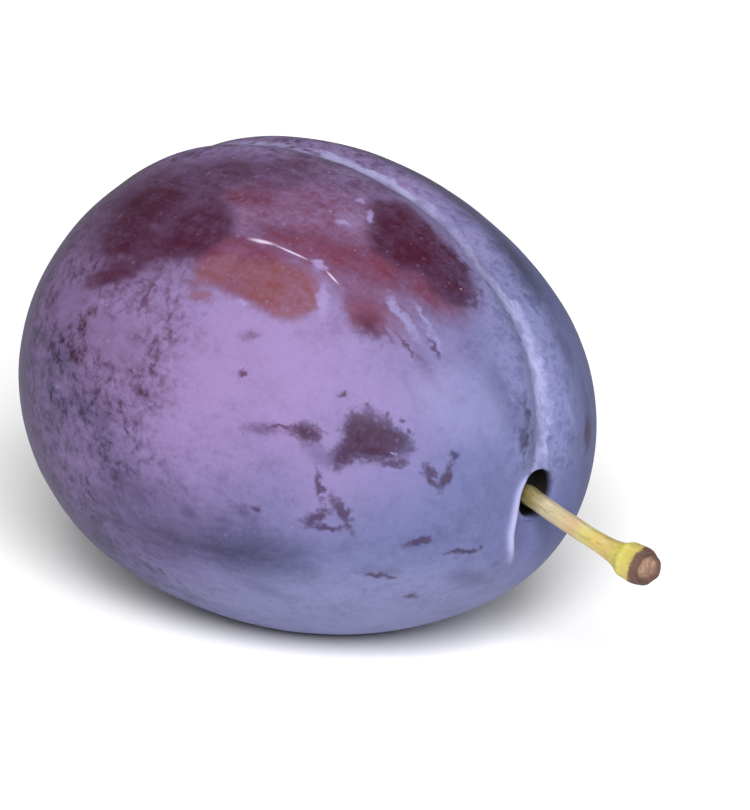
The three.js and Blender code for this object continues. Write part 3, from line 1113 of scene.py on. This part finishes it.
def makeStemSkin(spots):
    material, tree, shader = newMaterial("stemSkin", specular=0.4)
    straight = addNode(tree, "ShaderNodeAttribute", attribute_name="straight").outputs["Vector"]
    parts = addNode(tree, "ShaderNodeSeparateXYZ", {0: straight}).outputs
    spoke = vectorCalc(tree, "MULTIPLY", straight, (0, 1, 1))
    out = addNode(tree, "ShaderNodeVectorMath", {0: spoke}, operation="LENGTH").outputs["Value"]
    drawnOut = vectorCalc(tree, "MULTIPLY", straight, (0.15, 1, 1))
    patches = centred(tree, cloud(tree, straight, **stemClouds["patches"]))
    streaks = centred(tree, cloud(tree, drawnOut, **stemClouds["streaks"]))
    fine = centred(tree, cloud(tree, straight, **stemClouds["fine"]))

    along = weighted(tree, parts[0], (patches, 1.6), (streaks, 0.8))
    share = calc(tree, "DIVIDE", along, stemForm["length"])
    onShank = step(tree, share, *stemSteps["onShank"])
    # darker and greener on its underside: painted shade, added to the real moss streaks
    underside = step(tree, weighted(tree, parts[2], (parts[1], -0.6)), *stemSteps["underside"])
    outwards = step(tree, share, *stemSteps["outwards"])
    moss = weighted(tree, streaks, (underside, 0.16), (outwards, 0.04))
    moss = times(tree, times(tree, step(tree, moss, *stemSteps["moss"]), onShank), 0.7)
    cream = times(tree, times(tree, step(tree, streaks, *stemSteps["cream"]), onShank), 0.6)
    specks = useGroup(tree, spots, Place=straight, Spacing=0.8, Radius=0.12, Share=0.45)
    specks = times(tree, specks, 0.6)
    onEnd = step(tree, parts[0], stemForm["length"] * 0.97, stemForm["length"] * 0.985)
    inScar = step(tree, weighted(tree, out, (patches, 0.6)), *stemSteps["inScar"])
    inScar = times(tree, times(tree, onEnd, inScar), step(tree, fine, *stemSteps["grain"]))
    colour = ramp(tree, share, stemColours)
    colour = painted(tree, colour, stemMarks, moss=moss, cream=cream, speck=specks, scar=inScar)

    onBark = step(tree, share, *stemSteps["onBark"])
    rough = times(tree, fine, weighted(tree, 0.04, (onBark, 0.22)))
    height = weighted(tree, rough, (streaks, 0.08))
    roughness = step(tree, onBark, *stemSteps["roughness"])
    linkFinish(tree, shader, colour, roughness, height)
    return material


# Floor, lights and camera.
studio = {
    "floorSize": 8,
    "floorColour": rgb(0.94, 0.94, 0.94),
    "floorRoughness": 0.7,
    "worldStrength": 0.3,
    "viewWidth": 62.5,  # how many millimetres the picture's long side takes in
    "sensor": 36,
}
cameraStand = {"azimuth": 41.4, "elevation": 20.8, "away": 2}
lamps = [
    {"name": "keyLamp", "azimuth": 45, "elevation": 36, "away": 3, "size": 1.5, "power": 170},
]


# Stands a lamp or a camera so many metres from its target, facing it.
def aimAt(thing, target, stand):
    turn, lift = math.radians(stand["azimuth"]), math.radians(stand["elevation"])
    towards = Vector((math.sin(turn) * math.cos(lift), -math.cos(turn) * math.cos(lift), math.sin(lift)))
    thing.location = target + towards * stand["away"]
    thing.rotation_euler = towards.to_track_quat("Z", "Y").to_euler()


def makeFloor():
    body = bmesh.new()
    bmesh.ops.create_grid(body, x_segments=2, y_segments=2, size=studio["floorSize"] / 2)
    material, _, shader = newMaterial("floorPaper")
    shader.inputs["Base Color"].default_value = studio["floorColour"]
    shader.inputs["Roughness"].default_value = studio["floorRoughness"]
    floor = bodyToObject(body, "floor", material)


def makeLights(target):
    world = bpy.data.worlds.new("studioAir")
    scene.world = world
    world.use_nodes = True
    background = world.node_tree.nodes["Background"]
    background.inputs["Color"].default_value = rgb(1, 1, 1)
    background.inputs["Strength"].default_value = studio["worldStrength"]
    for lamp in lamps:
        light = bpy.data.lights.new(lamp["name"], "AREA")
        light.energy = lamp["power"]
        light.size = lamp["size"]
        aimAt(addObject(lamp["name"], light), target, lamp)


def makeCamera(target):
    data = bpy.data.cameras.new("camera")
    data.sensor_width = studio["sensor"]
    data.lens = studio["sensor"] * cameraStand["away"] / (studio["viewWidth"] * millimetre)
    camera = addObject("camera", data)
    aimAt(camera, target, cameraStand)
    scene.camera = camera


print("fruit")
spotsGroup = makeSpotsGroup()
fruitLayers = {"fromLine": "float", "depthInPit": "float", "onCrest": "float"}
fruitBody = wrappedBody(fruitSection(), fruitFinish["around"], fruitLayers, skinPlace)
corePlace = placeOnSolid(fruitBody)
layMarks(fruitBody, corePlace)
relieve(fruitBody)
pressFlat(fruitBody)
skin = makeSkin(corePlace, spotsGroup, makeFrayedGroup(), makeOvalGroup())
finishPiece(fruitBody, "plumFruit", "fruit", skin)

print("stem")
stemBody = wrappedBody(stemSection(), stemForm["around"], {"straight": "float_vector"}, stemPlace)
bmesh.ops.translate(stemBody, vec=corePlace, verts=stemBody.verts)
plumStem = finishPiece(stemBody, "plumStem", "stem", makeStemSkin(spotsGroup))
smoothing = plumStem.modifiers.new("smoothing", "SUBSURF")
smoothing.levels = smoothing.render_levels = stemForm["smoothing"]

print("studio")
middle = (Vector(cadBox[0]) + Vector(cadBox[1])) / 2
makeFloor()
makeLights(middle)
makeCamera(middle)
scene.view_settings.view_transform = "Standard"
